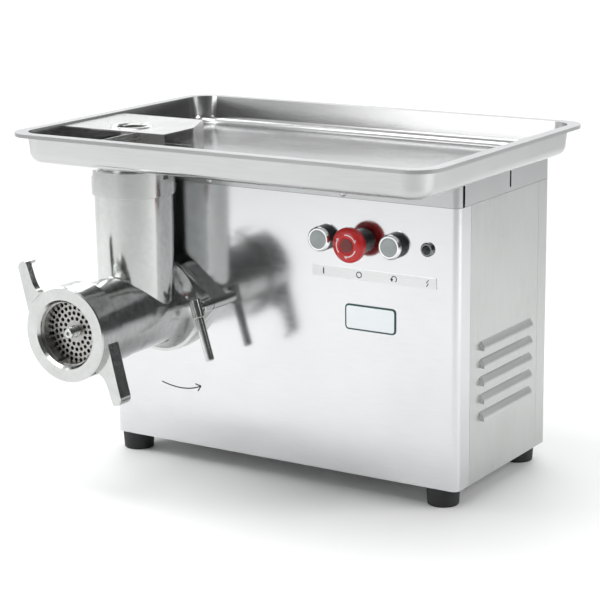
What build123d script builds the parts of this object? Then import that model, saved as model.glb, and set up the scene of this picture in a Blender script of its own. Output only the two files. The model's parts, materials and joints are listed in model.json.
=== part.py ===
from build123d import *
import os
from math import atan2, cos, degrees, pi, radians, sin, sqrt, tan

# Electric meat grinder with its head on the left of the front panel.
# Millimetres, +Z up, -Y towards the user, +X to the user's right.
# Origin: centre of the whole machine's footprint, on the table.

os.makedirs("parts", exist_ok=True)
pieces = {}

# ---------------------------------------------------------------- driving dimensions
body_w, body_d = 475.0, 227.0        # casing, left to right and front to back
foot_h = 22.0                        # table to casing
panel_top = 344.0                    # top of the front, side and rear panels
deck_z = 381.5                       # top of the cap, where the tray rests
rim_z = 416.5                        # top of the tray rim
sheet = 1.5                          # casing sheet thickness
gap = 0.3                            # joint between neighbouring sheet parts
corner_r = 8.0                       # outer bend radius of the casing corners
wrap = 28.5                          # how far front and rear panels turn round the sides

tray_w, tray_d = 545.0, 383.0        # tray rim, outside
tray_overhang = 10.7                 # tray rim past the casing on the left
tray_front = 177.7                   # tray rim in front of the front panel

reach = 194.0                        # ring nut face in front of the front panel
gland_l = 14.0                       # cable gland behind the rear cover
head_in = 80.3                       # head axis from the casing's left side
axis_z = 197.0                       # head axis above the table
neck_out = 57.8                      # feed neck axis in front of the front panel

body_left = -tray_w / 2 + tray_overhang
body_right = body_left + body_w
front_y = (reach - body_d - gland_l) / 2
back_y = front_y + body_d
head_x = body_left + head_in
neck_y = front_y - neck_out
tray_y = front_y - tray_front + tray_d / 2
body_x = (body_left + body_right) / 2
body_y = (front_y + back_y) / 2


def depth(d):
    """Y of a point d behind the face of the front panel; negative is in front of it."""
    return front_y + d


def facing(d):
    """Sketch plane parallel to the front panel, d behind its face, seen by the user."""
    return Plane(origin=(0, depth(d), 0), x_dir=(1, 0, 0), z_dir=(0, -1, 0))


def turned(points, x, z):
    """A closed half-section of (depth, radius) points, turned about the Y axis through x, z."""
    with BuildPart() as ring:
        with BuildSketch(Plane(origin=(x, front_y, z), x_dir=(0, 1, 0), z_dir=(1, 0, 0))):
            with BuildLine():
                Polyline(*points, close=True)
            make_face()
        revolve(axis=Axis((x, front_y, z), (0, 1, 0)))
    return ring


def sleeve(d0, d1, r_out, r_in, *places):
    """Rings or, with r_in 0, discs between depths d0 and d1, one at each (x, z) place."""
    with BuildPart() as rings:
        with BuildSketch(facing(d1)):
            with Locations(*places):
                Circle(r_out)
                if r_in:
                    Circle(r_in, mode=Mode.SUBTRACT)
        extrude(amount=d1 - d0)
    return rings


# ---------------------------------------------------------------- gear train layout
module = 2.0
pressure = radians(20)
backlash = 0.25                      # each tooth is this much thinner at its pitch circle
output_teeth, lay_teeth, pinion_teeth = 56, 48, 18
lay_angle, motor_angle = radians(-30), radians(10)
lay_gap = module * (output_teeth + pinion_teeth) / 2
motor_gap = module * (lay_teeth + pinion_teeth) / 2
lay_x = head_x + lay_gap * cos(lay_angle)
lay_z = axis_z + lay_gap * sin(lay_angle)
motor_x = lay_x + motor_gap * cos(motor_angle)
motor_z = lay_z + motor_gap * sin(motor_angle)

shaft_r, small_r = 12.5, 10.0        # output shaft, and layshaft and rotor shaft
fit = 0.05                           # radial clearance of a running fit
large_race, small_race = 23.5, 21.0  # outer radius of the bearings on those shafts
case_d0, wall_d1, case_d1, cover_d1 = 2.0, 14.0, 57.5, 69.5


def gear_outline(teeth, phase):
    """Corner points of a spur gear whose first tooth points along the angle phase."""
    pitch_r = module * teeth / 2
    base_r = pitch_r * cos(pressure)
    root_r = pitch_r - 1.25 * module
    half = pi / (2 * teeth) - backlash / (2 * pitch_r) + tan(pressure) - pressure
    flank = []
    for r in (pitch_r - 0.4 * module, pitch_r, pitch_r + 0.55 * module, pitch_r + module):
        roll = sqrt((r / base_r) ** 2 - 1)
        flank.append((r, half - (roll - atan2(roll, 1))))
    side = [(root_r, flank[0][1])] + flank
    points = []
    for tooth in range(teeth):
        middle = phase + 2 * pi * tooth / teeth
        for r, a in side:
            points.append((r * cos(middle - a), r * sin(middle - a)))
        for r, a in reversed(side):
            points.append((r * cos(middle + a), r * sin(middle + a)))
    return points


def gear(teeth, phase, d0, d1, bore_r, x, z, windows=0):
    """A spur gear between depths d0 and d1, with round lightening windows if any."""
    with BuildPart() as wheel:
        with BuildSketch(facing(d1)):
            with Locations((x, z)):
                Polygon(*gear_outline(teeth, phase), align=None)
                if bore_r:
                    Circle(bore_r, mode=Mode.SUBTRACT)
                with PolarLocations(module * teeth * 0.31, windows or 1):
                    if windows:
                        Circle(module * teeth * 0.085, mode=Mode.SUBTRACT)
        extrude(amount=d1 - d0)
    return wheel


# ---------------------------------------------------------------- chassis and feet
pan_gap = sheet + 0.2
foot_spots = [(x, y) for x in (body_left + 19, body_right - 27.5) for y in (front_y + 19, back_y - 19)]

with BuildPart() as base_frame:
    with BuildSketch(Plane.XY.offset(foot_h)):
        with Locations((body_x, body_y)):
            RectangleRounded(body_w - 2 * pan_gap, body_d - 2 * pan_gap, 6)
    extrude(amount=25)
    with BuildSketch(Plane.XY.offset(foot_h + 2)):
        with Locations((body_x, body_y)):
            RectangleRounded(body_w - 2 * pan_gap - 4, body_d - 2 * pan_gap - 4, 4)
    extrude(amount=23, mode=Mode.SUBTRACT)
    with BuildSketch(Plane.XY.offset(foot_h)):
        with Locations(*foot_spots):
            Circle(4.2)
    extrude(amount=2, mode=Mode.SUBTRACT)
pieces["base_frame"] = base_frame

foot_r, foot_low_r, foot_recess = 19.5, 18.0, 9.0
with BuildPart() as rubber_feet:
    with Locations(*foot_spots):
        Cone(foot_low_r, foot_r, foot_h, align=(Align.CENTER, Align.CENTER, Align.MIN))
    fillet(rubber_feet.faces().group_by(Axis.Z)[0].edges(), 1.5)
    with Locations(*foot_spots):
        Cylinder(7.5, foot_recess, align=(Align.CENTER, Align.CENTER, Align.MIN), mode=Mode.SUBTRACT)
        Cylinder(4.2, foot_h, align=(Align.CENTER, Align.CENTER, Align.MIN), mode=Mode.SUBTRACT)
pieces["rubber_feet"] = rubber_feet

with BuildPart() as foot_screws:
    with BuildSketch(Plane.XY.offset(foot_recess - 5)):
        with Locations(*foot_spots):
            Circle(7)
            RegularPolygon(3, 6, mode=Mode.SUBTRACT)
    extrude(amount=5)
    with BuildSketch(Plane.XY.offset(foot_recess - 2)):
        with Locations(*foot_spots):
            Circle(4)
    extrude(amount=foot_h - foot_recess + 8)
    with BuildSketch(Plane.XY.offset(foot_h + 2)):
        with Locations(*foot_spots):
            RegularPolygon(7, 6)
    extrude(amount=5)
pieces["foot_screws"] = foot_screws

# ---------------------------------------------------------------- where things pass the front panel
start_x, stop_x, reverse_x, lamp_x = [body_left + x for x in (303.0, 349.5, 394.8, 437.0)]
control_z = 296.0
clamp_reach, clamp_angle = 73.0, radians(5.4)
clamp_x = head_x + clamp_reach * cos(clamp_angle)
clamp_z = axis_z + clamp_reach * sin(clamp_angle)
mouth_r = 44.0                       # body of the drive flange
gland_x, gland_z = body_right - 45, foot_h + 40
cover_screws_at = [(x, z) for x in (body_left + 14, body_right - 14) for z in (60, 185, 310)]


def channel(y0, turn):
    """Plan of the front (turn 1) or rear (turn -1) panel, with its ends round the corners."""
    left, right, end = body_left, body_right, y0 + turn * wrap
    with BuildSketch(Plane.XY.offset(foot_h)) as plan:
        with BuildLine():
            outer = FilletPolyline((left, end), (left, y0), (right, y0), (right, end), radius=corner_r)
            inner = FilletPolyline((left + sheet, end), (left + sheet, y0 + turn * sheet),
                                   (right - sheet, y0 + turn * sheet), (right - sheet, end),
                                   radius=corner_r - sheet)
            Line(outer @ 0, inner @ 0)
            Line(outer @ 1, inner @ 1)
        make_face()
    return plan.sketch


with BuildPart() as front_panel:
    extrude(channel(front_y, 1), amount=panel_top - foot_h)
    with BuildSketch(facing(sheet)):
        with Locations((head_x, axis_z)):
            Circle(mouth_r + gap)
        with Locations((clamp_x, clamp_z)):
            Circle(4.6)
        with Locations((start_x, control_z), (stop_x, control_z), (reverse_x, control_z)):
            Circle(11.1)
        with Locations((lamp_x, control_z)):
            Circle(6.1)
        with Locations((head_x, axis_z)):
            with PolarLocations(50, 4, start_angle=45):
                Circle(3.3)
    extrude(amount=sheet, mode=Mode.SUBTRACT)
pieces["front_panel"] = front_panel

with BuildPart() as rear_cover:
    extrude(channel(back_y, -1), amount=panel_top - foot_h)
    with BuildSketch(facing(body_d)):
        with Locations((gland_x, gland_z)):
            Circle(8)
        with Locations(*cover_screws_at):
            Circle(2.1)
        with Locations((motor_x, motor_z)):
            with GridLocations(0, 14, 1, 7):
                SlotOverall(70, 5)
    extrude(amount=sheet, mode=Mode.SUBTRACT)
pieces["rear_cover"] = rear_cover

with BuildPart() as cover_screws:
    with BuildSketch(facing(body_d + 2.2)):
        with Locations(*cover_screws_at):
            Circle(4)
    extrude(amount=2.2)
    fillet(cover_screws.faces().group_by(Axis.Y)[-1].edges(), 1.2)
    with BuildSketch(facing(body_d)):
        with Locations(*cover_screws_at):
            Circle(2)
    extrude(amount=9)
    with BuildSketch(facing(body_d + 2.2)):
        with Locations(*cover_screws_at):
            Rectangle(4.6, 0.9)
            Rectangle(0.9, 4.6)
    extrude(amount=1.2, mode=Mode.SUBTRACT)
pieces["cover_screws"] = cover_screws

side_y0, side_y1 = front_y + wrap + gap, back_y - wrap - gap
with BuildPart() as left_side_panel:
    with BuildSketch(Plane.XY.offset(foot_h)):
        with Locations((body_left + sheet / 2, (side_y0 + side_y1) / 2)):
            Rectangle(sheet, side_y1 - side_y0)
    extrude(amount=panel_top - foot_h)
pieces["left_side_panel"] = left_side_panel

louvre_count, louvre_pitch, louvre_top = 5, 20.6, 179.5
louvre_l, louvre_out, louvre_drop = 124.0, 5.0, 11.0
louvre_y = front_y + 116.3
louvre_sheet = 1.2
with BuildPart() as right_side_panel:
    with BuildSketch(Plane.XY.offset(foot_h)):
        with Locations((body_right - sheet / 2, (side_y0 + side_y1) / 2)):
            Rectangle(sheet, side_y1 - side_y0)
    extrude(amount=panel_top - foot_h)
    for row in range(louvre_count):
        low = louvre_top - row * louvre_pitch - louvre_drop / 2
        with BuildSketch(Plane(origin=(body_right, louvre_y, low), x_dir=(1, 0, 0), z_dir=(0, -1, 0))):
            with BuildLine():
                hood = ThreePointArc((0, louvre_drop), (louvre_out * 0.72, louvre_drop * 0.62),
                                     (louvre_out, 0))
                Polyline(hood @ 1, (0, 0), (0, louvre_drop))
            make_face()
        extrude(amount=louvre_l / 2, both=True)
        with BuildSketch(Plane(origin=(body_right, louvre_y, low), x_dir=(1, 0, 0), z_dir=(0, -1, 0))):
            with BuildLine():
                hood = ThreePointArc((-sheet, louvre_drop - 2.4),
                                     ((louvre_out - louvre_sheet) * 0.6, louvre_drop * 0.5),
                                     (louvre_out - louvre_sheet, 0))
                Polyline(hood @ 1, (-sheet, 0), (-sheet, louvre_drop - 2.4))
            make_face()
        extrude(amount=louvre_l / 2 - louvre_sheet, both=True, mode=Mode.SUBTRACT)
pieces["right_side_panel"] = right_side_panel

cap_bolt_x = [body_left + 146.7, body_left + 328.8]
cap_bolt_z = 349.0
relief_y = front_y + 124
with BuildPart() as top_cap:
    with BuildSketch(Plane.XY.offset(panel_top + gap)):
        with Locations((body_x, body_y)):
            RectangleRounded(body_w, body_d, corner_r)
    extrude(amount=deck_z - panel_top - gap)
    with BuildSketch(Plane.XY.offset(panel_top + gap)):
        with Locations((body_x, body_y)):
            RectangleRounded(body_w - 2 * sheet, body_d - 2 * sheet, corner_r - sheet)
    extrude(amount=deck_z - panel_top - gap - sheet, mode=Mode.SUBTRACT)
    with BuildSketch(Plane.XY.offset(panel_top + gap)):
        with Locations((body_left, front_y + 11.5), (body_right, front_y + 11.5)):
            Rectangle(2 * sheet + 1, 5)
    extrude(amount=24, mode=Mode.SUBTRACT)
    with BuildSketch(Plane(origin=(body_right, relief_y, 0), x_dir=(0, 1, 0), z_dir=(1, 0, 0))):
        with Locations((0, panel_top + 19)):
            SlotOverall(28, 3.6, rotation=90)
    extrude(amount=-body_w, mode=Mode.SUBTRACT)
    with BuildSketch(facing(body_d)):
        with Locations(*[(x, cap_bolt_z) for x in cap_bolt_x]):
            Circle(2.1)
    extrude(amount=body_d, mode=Mode.SUBTRACT)
pieces["top_cap"] = top_cap

with BuildPart() as cap_bolts:
    for x in cap_bolt_x:
        for d, out in ((0, -1), (body_d, 1)):
            with Locations(Plane(origin=(x, depth(d), cap_bolt_z), z_dir=(0, out, 0))):
                Cylinder(3.8, 1.0, align=(Align.CENTER, Align.CENTER, Align.MIN))
            with Locations(Plane(origin=(x, depth(d) + out, cap_bolt_z), z_dir=(0, out, 0))):
                Cone(3.8, 2.2, 1.5, align=(Align.CENTER, Align.CENTER, Align.MIN))
            with Locations(Plane(origin=(x, depth(d), cap_bolt_z), z_dir=(0, -out, 0))):
                Cylinder(2.0, 10, align=(Align.CENTER, Align.CENTER, Align.MIN))
pieces["cap_bolts"] = cap_bolts

# ---------------------------------------------------------------- tray, its throat and guard
flange_w, tray_t = 12.0, 1.2
tray_r, bowl_r, slope = 30.0, 12.0, 4.0
bowl_w, bowl_d = tray_w - 2 * flange_w, tray_d - 2 * flange_w
throat_r = 40.5
throat_low = 356.0
wall_angle = degrees(atan2(slope, rim_z - tray_t - deck_z))


def bowl(inset, low):
    """The tray's rounded, widening hollow, inset from its outer surface, up to the rim."""
    with BuildPart() as solid:
        with BuildSketch(Plane.XY.offset(low)):
            with Locations((0, tray_y)):
                RectangleRounded(bowl_w - 2 * slope - 2 * inset, bowl_d - 2 * slope - 2 * inset,
                                 tray_r - 8 - inset)
        extrude(amount=rim_z - low, taper=-wall_angle)
        fillet(solid.faces().sort_by(Axis.Z)[0].edges(), bowl_r - inset)
    return solid.part


with BuildPart() as tray:
    add(bowl(0, deck_z))
    add(bowl(tray_t, deck_z + tray_t), mode=Mode.SUBTRACT)
    with BuildSketch(Plane.XY.offset(rim_z - tray_t)):
        with Locations((0, tray_y)):
            RectangleRounded(tray_w, tray_d, tray_r + 2)
            RectangleRounded(bowl_w - 2 * tray_t, bowl_d - 2 * tray_t, tray_r - 8, mode=Mode.SUBTRACT)
    extrude(amount=tray_t)
    with BuildSketch(Plane.XY.offset(rim_z - 4)):
        with Locations((0, tray_y)):
            RectangleRounded(tray_w, tray_d, tray_r + 2)
            RectangleRounded(tray_w - 2 * tray_t, tray_d - 2 * tray_t, tray_r + 1, mode=Mode.SUBTRACT)
    extrude(amount=4)
    with BuildSketch(Plane.XY.offset(throat_low)):
        with Locations((head_x, neck_y)):
            Circle(throat_r)
    extrude(amount=deck_z - throat_low)
    with BuildSketch(Plane.XY.offset(throat_low)):
        with Locations((head_x, neck_y)):
            Circle(throat_r - tray_t)
    extrude(amount=deck_z - throat_low + 2 * tray_t, mode=Mode.SUBTRACT)
pieces["tray"] = tray

# The guard is a hood over the throat: a roof at rim height with a flared pusher hole,
# a rear wall, a short front wall and a wing that runs to the front of the tray.
roof_z, guard_t = 414.2, 1.5
guard_left, wing_x = body_left + 3.6, body_left + 110.0
roof_front, roof_back = depth(-90), depth(25)
roof_corner, rear_corner = body_left + 149.0, body_left + 122.0
mouth_back = depth(-32)
guard_foot = deck_z + tray_t + 0.3
pusher_r = 17.5

with BuildPart() as throat_guard:
    with BuildSketch(Plane.XY.offset(roof_z - guard_t)):
        Polygon((guard_left, roof_front), (roof_corner, roof_front), (roof_corner, mouth_back),
                (rear_corner, roof_back), (guard_left, roof_back), align=None)
        with Locations((head_x, neck_y)):
            Circle(pusher_r, mode=Mode.SUBTRACT)
    extrude(amount=guard_t)
    with BuildSketch(Plane.XY.offset(guard_foot)):
        with BuildLine():
            Polyline((rear_corner, roof_back - guard_t), (roof_corner - guard_t, mouth_back),
                     (roof_corner, mouth_back), (rear_corner + 1, roof_back), (rear_corner - 8, roof_back),
                     (rear_corner - 8, roof_back - guard_t), close=True)
        make_face()
        with Locations(((wing_x + roof_corner) / 2, roof_front + guard_t / 2)):
            Rectangle(roof_corner - wing_x, guard_t)
    extrude(amount=roof_z - guard_t - guard_foot)
    with BuildSketch(Plane(origin=(0, roof_back, 0), x_dir=(1, 0, 0), z_dir=(0, -1, 0))):
        Polygon((guard_left, roof_z - guard_t), (guard_left + 4, guard_foot + 12),
                (guard_left + 16, guard_foot),
                (rear_corner - 8, guard_foot), (rear_corner - 8, roof_z - guard_t), align=None)
    extrude(amount=guard_t)
    with BuildSketch(Plane(origin=(wing_x, 0, 0), x_dir=(0, 1, 0), z_dir=(1, 0, 0))):
        Polygon((roof_front + guard_t, guard_foot), (roof_front + guard_t, roof_z),
                (depth(-163), roof_z), (depth(-159.5), guard_foot + 12), (depth(-148), guard_foot),
                align=None)
    extrude(amount=guard_t)
    with BuildSketch(Plane(origin=(head_x, neck_y, 0), x_dir=(1, 0, 0), z_dir=(0, -1, 0))):
        with BuildLine():
            lip = ThreePointArc((pusher_r + 7.5, roof_z), (pusher_r + 2.2, roof_z + 1.5),
                                (pusher_r, roof_z - 1.5))
            Line(lip @ 1, (pusher_r + 1.4, roof_z - 1.5))
            Line((pusher_r + 1.4, roof_z - 1.5), lip @ 0)
        make_face()
    revolve(axis=Axis((head_x, neck_y, 0), (0, 0, 1)))
pieces["throat_guard"] = throat_guard

# ---------------------------------------------------------------- head casting
barrel_r, bore_r = 46.5, 39.0
seat_r = 41.1                        # counterbore for the cutting set
thread_r = 48.9
flange_r, ear_r = 59.0, 8.5
nut_back = -155.0
cut_back = -152.7                    # shoulder behind the undercut plate
barrel_front = -172.0
plate_front, plate_back = -173.9, -165.9
neck_r, neck_low_r, neck_bore_r = 45.6, 44.6, 41.4
collar_r, collar_low, collar_top = 48.5, 337.5, 367.5
spigot_r, bush_r = 32.0, 20.0
key_angle = radians(250)             # key that stops the perforated plate from turning


def lobed(r):
    """A round flange with one ear for the clamp screw."""
    with BuildSketch() as outline:
        with Locations((head_x, axis_z)):
            Circle(r)
        with Locations((clamp_x, clamp_z)):
            Circle(ear_r)
        make_hull()
    return outline.sketch


turning_plane = Plane(origin=(head_x, front_y, axis_z), x_dir=(0, 1, 0), z_dir=(1, 0, 0))
head_axis = Axis((head_x, front_y, axis_z), (0, 1, 0))
with BuildPart() as head_housing:
    with BuildSketch(turning_plane):
        with BuildLine():
            flare = ThreePointArc((-15, flange_r - 3.4), (-24.5, 49.6), (-40, barrel_r))
            Polyline(flare @ 1, (-107, barrel_r), (-108.5, barrel_r + 1.2), (-150, barrel_r + 1.2),
                     (-151, barrel_r + 3.2), (nut_back + 0.4, barrel_r + 3.2), (nut_back + 0.4, thread_r),
                     (barrel_front + 1.5, thread_r), (barrel_front, thread_r - 1.5), (barrel_front, 0),
                     (2, 0), (2, spigot_r), (-6, spigot_r), (-6, flange_r - 3.4), flare @ 0)
        make_face()
    revolve(axis=head_axis)
    with BuildSketch(facing(-6)):
        add(lobed(flange_r))
    extrude(amount=9)
    with Locations((head_x, neck_y, axis_z)):
        Cone(neck_low_r, neck_r, collar_low - axis_z, align=(Align.CENTER, Align.CENTER, Align.MIN))
    with BuildSketch(Plane.XY.offset(axis_z)):
        with Locations((head_x, neck_y)):
            Circle(neck_bore_r)
    extrude(amount=collar_top - axis_z, mode=Mode.SUBTRACT)
    with BuildSketch(turning_plane):
        with BuildLine():
            Polyline((barrel_front, 0), (barrel_front, seat_r), (cut_back, seat_r), (cut_back, bore_r),
                     (-12, bore_r), (-12, bush_r), (2, bush_r), (2, 0), close=True)
        make_face()
    revolve(axis=head_axis, mode=Mode.SUBTRACT)
    with BuildSketch(facing(-6)):
        with Locations((clamp_x, clamp_z)):
            Circle(4.5)
    extrude(amount=9, mode=Mode.SUBTRACT)
    with BuildSketch(facing(plate_back)):
        with Locations((head_x, axis_z)):
            with Locations(Location((40.4 * cos(key_angle), 40.4 * sin(key_angle)), degrees(key_angle))):
                Rectangle(3.6, 3.9)
    extrude(amount=5.8)
    drain = radians(-57)
    with BuildSketch(Plane(origin=(head_x, depth(-35), axis_z), z_dir=(cos(drain), 0, sin(drain)))):
        Circle(2.75)
    extrude(amount=70, mode=Mode.SUBTRACT)
pieces["head_housing"] = head_housing

with BuildPart() as neck_collar:
    with BuildSketch(Plane.XY.offset(collar_low)):
        with Locations((head_x, neck_y)):
            Circle(collar_r)
            Circle(neck_bore_r, mode=Mode.SUBTRACT)
    extrude(amount=collar_top - collar_low)
    fillet(neck_collar.edges().filter_by(GeomType.CIRCLE).group_by(SortBy.RADIUS)[-1], 0.8)
    for start in (-8, 172):
        with BuildSketch(Plane.XY.offset(collar_top - 10.5)):
            with Locations((head_x, neck_y)):
                a0, a1 = radians(start), radians(start + 62)
                Polygon((30 * cos(a0), 30 * sin(a0)), (60 * cos(a0), 60 * sin(a0)),
                        (80 * cos((a0 + a1) / 2), 80 * sin((a0 + a1) / 2)),
                        (60 * cos(a1), 60 * sin(a1)), (30 * cos(a1), 30 * sin(a1)), align=None)
        extrude(amount=11, mode=Mode.SUBTRACT)
pieces["neck_collar"] = neck_collar

pieces["head_bush"] = turned([(-12, 16 + fit), (-12, bush_r), (2, bush_r), (2, 16 + fit)], head_x, axis_z)

# ---------------------------------------------------------------- drive flange on the gearbox
with BuildPart() as drive_flange:
    with BuildSketch(facing(0)):
        add(lobed(flange_r + 1))
    extrude(amount=6)
    with BuildSketch(facing(wall_d1)):
        with Locations((head_x, axis_z)):
            Circle(mouth_r)
    extrude(amount=wall_d1)
    with BuildSketch(facing(20)):
        with Locations((head_x, axis_z)):
            Circle(30)
    extrude(amount=6)
    with BuildSketch(turning_plane):
        with BuildLine():
            Polyline((-6, 0), (-6, spigot_r + fit), (2, spigot_r + fit), (2, 21), (8, 21), (8, large_race),
                     (20, large_race), (20, 0), close=True)
        make_face()
    revolve(axis=head_axis, mode=Mode.SUBTRACT)
    with BuildSketch(facing(0)):
        with Locations((clamp_x, clamp_z)):
            Circle(4.5)
        with Locations((head_x, axis_z)):
            with PolarLocations(50, 4, start_angle=45):
                Circle(3.1)
    extrude(amount=6, mode=Mode.SUBTRACT)
    with BuildSketch(facing(-2.8)):
        with Locations((head_x, axis_z)):
            with PolarLocations(50, 4, start_angle=45):
                Circle(5.2)
    extrude(amount=3.2, mode=Mode.SUBTRACT)
pieces["drive_flange"] = drive_flange

with BuildPart() as flange_screws:
    with BuildSketch(facing(-2.8)):
        with Locations((head_x, axis_z)):
            with PolarLocations(50, 4, start_angle=45):
                Circle(5)
                RegularPolygon(2.3, 6, mode=Mode.SUBTRACT)
    extrude(amount=3)
    with BuildSketch(facing(11)):
        with Locations((head_x, axis_z)):
            with PolarLocations(50, 4, start_angle=45):
                Circle(3)
    extrude(amount=14)
pieces["flange_screws"] = flange_screws

hook_angle = pi + clamp_angle
with BuildPart() as retaining_hook:
    with BuildSketch(Plane(origin=(head_x, front_y, axis_z), x_dir=(0, 1, 0),
                           z_dir=(sin(hook_angle), 0, -cos(hook_angle)))):
        inner_r, outer_r = flange_r + 1.2, flange_r + 7
        Polygon((0, inner_r), (0, outer_r), (-20, outer_r), (-20, 56.6), (-15.3, 56.6), (-15.3, inner_r),
                align=None)
    extrude(amount=9, both=True)
    fillet(retaining_hook.edges().filter_by(Axis.Y), 1.5)
pieces["retaining_hook"] = retaining_hook

pieces["shaft_seal"] = turned([(2, shaft_r + fit), (2, 21), (8, 21), (8, 19), (3.5, 19), (3.5, 15),
                               (6, shaft_r + 1), (6, shaft_r + fit)], head_x, axis_z)

# ---------------------------------------------------------------- cutting set
plate_r = 40.9
hole_rings = [(14.8, 14), (21.0, 20), (27.2, 26), (33.2, 32)]
hole_r = 2.25

with BuildPart() as perforated_plate:
    with BuildSketch(facing(plate_back)):
        with Locations((head_x, axis_z)):
            Circle(plate_r)
            Circle(7 + fit, mode=Mode.SUBTRACT)
            for ring_r, count in hole_rings:
                with PolarLocations(ring_r, count, start_angle=90 + ring_r):
                    Circle(hole_r, mode=Mode.SUBTRACT)
            with Locations(Location((plate_r * cos(key_angle), plate_r * sin(key_angle)),
                                    degrees(key_angle))):
                Rectangle(5.2, 4.2, mode=Mode.SUBTRACT)
    extrude(amount=plate_back - plate_front)
pieces["perforated_plate"] = perforated_plate

with BuildPart() as undercut_plate:
    with BuildSketch(facing(cut_back)):
        with Locations((head_x, axis_z)):
            Circle(plate_r)
            Circle(33, mode=Mode.SUBTRACT)
            with PolarLocations(24.5, 3, start_angle=90):
                Rectangle(20, 8)
            Circle(17)
            Circle(11 + fit, mode=Mode.SUBTRACT)
    extrude(amount=6)
pieces["undercut_plate"] = undercut_plate

knife_d0, knife_d1 = plate_back + 0.15, cut_back - 6.15
with BuildSketch() as blade:
    with BuildLine():
        edge = Line((0, -6), (39.5, -3.5))
        sweep_back = Line(edge @ 1, (38.6, 8.5))
        ThreePointArc(sweep_back @ 1, (24, 5.6), (11, 9.5))
        Polyline((11, 9.5), (0, 6), (0, -6))
    make_face()

with BuildPart() as knife:
    with BuildSketch(facing(knife_d1)):
        with Locations((head_x, axis_z)):
            Circle(14.5)
            with PolarLocations(0, 4, start_angle=20):
                add(blade.sketch)
            Rectangle(15, 15, mode=Mode.SUBTRACT)
    extrude(amount=knife_d1 - knife_d0)
pieces["knife"] = knife

# ---------------------------------------------------------------- auger
core_r, flight_r, flight_t, flight_pitch = 14.0, 38.3, 5.0, 44.0
flight_d0, turns = -149.0, 3
socket = 15.2
pin_tip = -187.6                     # front end of the stud that carries knife and plate
stud_grooves = []
for d in (-178.6, -181.2, -183.8):
    stud_grooves += [(d + 0.7, 6), (d, 5.1), (d - 0.7, 6)]
with BuildPart() as auger:
    with BuildLine() as spiral:
        Helix(flight_pitch, flight_pitch * turns, (flight_r + core_r - 2) / 2,
              center=(head_x, depth(flight_d0), axis_z), direction=(0, 1, 0), lefthand=True)
    start = spiral.line @ 0
    outwards = start - Vector(head_x, depth(flight_d0), axis_z)
    with BuildSketch(Plane(origin=start, x_dir=outwards, z_dir=spiral.line % 0)):
        Rectangle(flight_r - core_r + 2, flight_t)
    sweep(path=spiral.line, is_frenet=True)
    with BuildSketch(facing(-12)):
        with Locations((head_x, axis_z)):
            Circle(core_r)
    extrude(amount=-12 - cut_back - 0.3)
    with BuildSketch(facing(1.5)):
        with Locations((head_x, axis_z)):
            Circle(16)
    extrude(amount=13.5)
    with BuildSketch(facing(1.5)):
        with Locations((head_x, axis_z)):
            Rectangle(socket, socket)
    extrude(amount=16, mode=Mode.SUBTRACT)
    with BuildSketch(turning_plane):
        with BuildLine():
            Polyline((cut_back + 8, 0), (cut_back + 8, 11), (knife_d1 + 0.1, 11),
                     (knife_d1 + 0.1, 7), (plate_front - 1.2, 7), (plate_front - 2.2, 6), *stud_grooves,
                     (pin_tip + 1, 6), (pin_tip, 5), (pin_tip, 2.2), (pin_tip + 4, 1.6), (pin_tip + 5, 0),
                     close=True)
        make_face()
    revolve(axis=head_axis)
    with BuildSketch(facing(knife_d1 + 0.1)):
        with Locations((head_x, axis_z)):
            Rectangle(15, 15)
    extrude(amount=knife_d1 + 0.1 - knife_d0)
pieces["auger"] = auger

# ---------------------------------------------------------------- thrust ring and ring nut
lip_d, lip_r = -186.0, 37.2
nut_r = 55.0
with BuildPart() as thrust_ring:
    with BuildSketch(facing(plate_front - 0.05)):
        with Locations((head_x, axis_z)):
            Circle(40.8)
            Circle(35.4, mode=Mode.SUBTRACT)
            with Locations(Location((35.4 * cos(key_angle), 35.4 * sin(key_angle)), degrees(key_angle))):
                Rectangle(4.4, 9, mode=Mode.SUBTRACT)
    extrude(amount=plate_front - 0.05 - lip_d - 0.05)
pieces["thrust_ring"] = thrust_ring

lever_d0, web_d1, lever_d1 = -185.5, -177.0, -167.0
lever_edge = [(52.0, 4), (57.6, -18), (64.2, -45), (69.8, -66)]
with BuildSketch() as lever_web:
    with BuildLine():
        outer = Spline(*lever_edge)
        tip = ThreePointArc(outer @ 1, (67.4, -73.9), (59.4, -75.6))
        inner = Spline(tip @ 1, (54.2, -62), (47.0, -47), (35.5, -40.5))
        Polyline(inner @ 1, (40, 4), (52.0, 4))
    make_face()
with BuildSketch() as lever_rim:
    with BuildLine():
        outer = Spline(*lever_edge)
        tip = ThreePointArc(outer @ 1, (67.4, -73.9), (59.4, -75.6))
        step = Line(tip @ 1, (60.4, -71.6))
        bend = ThreePointArc(step @ 1, (64.2, -70.6), (65.3, -66.6))
        inner = Spline(bend @ 1, (59.8, -46), (53.0, -19), (46.5, 4))
        Line(inner @ 1, (52.0, 4))
    make_face()

with BuildPart() as ring_nut:
    with BuildSketch(turning_plane):
        with BuildLine():
            Polyline((-reach, nut_r - 1.5), (-reach, lip_r + 2.6), (-reach + 3.5, lip_r), (lip_d, lip_r),
                     (lip_d, thread_r + 0.4), (nut_back, thread_r + 0.4), (nut_back, nut_r - 2.5),
                     (nut_back - 2.5, nut_r), (-reach + 1.5, nut_r), close=True)
        make_face()
    revolve(axis=head_axis)
    for outline, d1 in ((lever_web, web_d1), (lever_rim, lever_d1)):
        with BuildSketch(facing(d1)):
            with Locations((head_x, axis_z)):
                with PolarLocations(0, 2):
                    add(outline.sketch)
                Circle(thread_r + 0.6, mode=Mode.SUBTRACT)
        extrude(amount=d1 - lever_d0)
pieces["ring_nut"] = ring_nut

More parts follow.
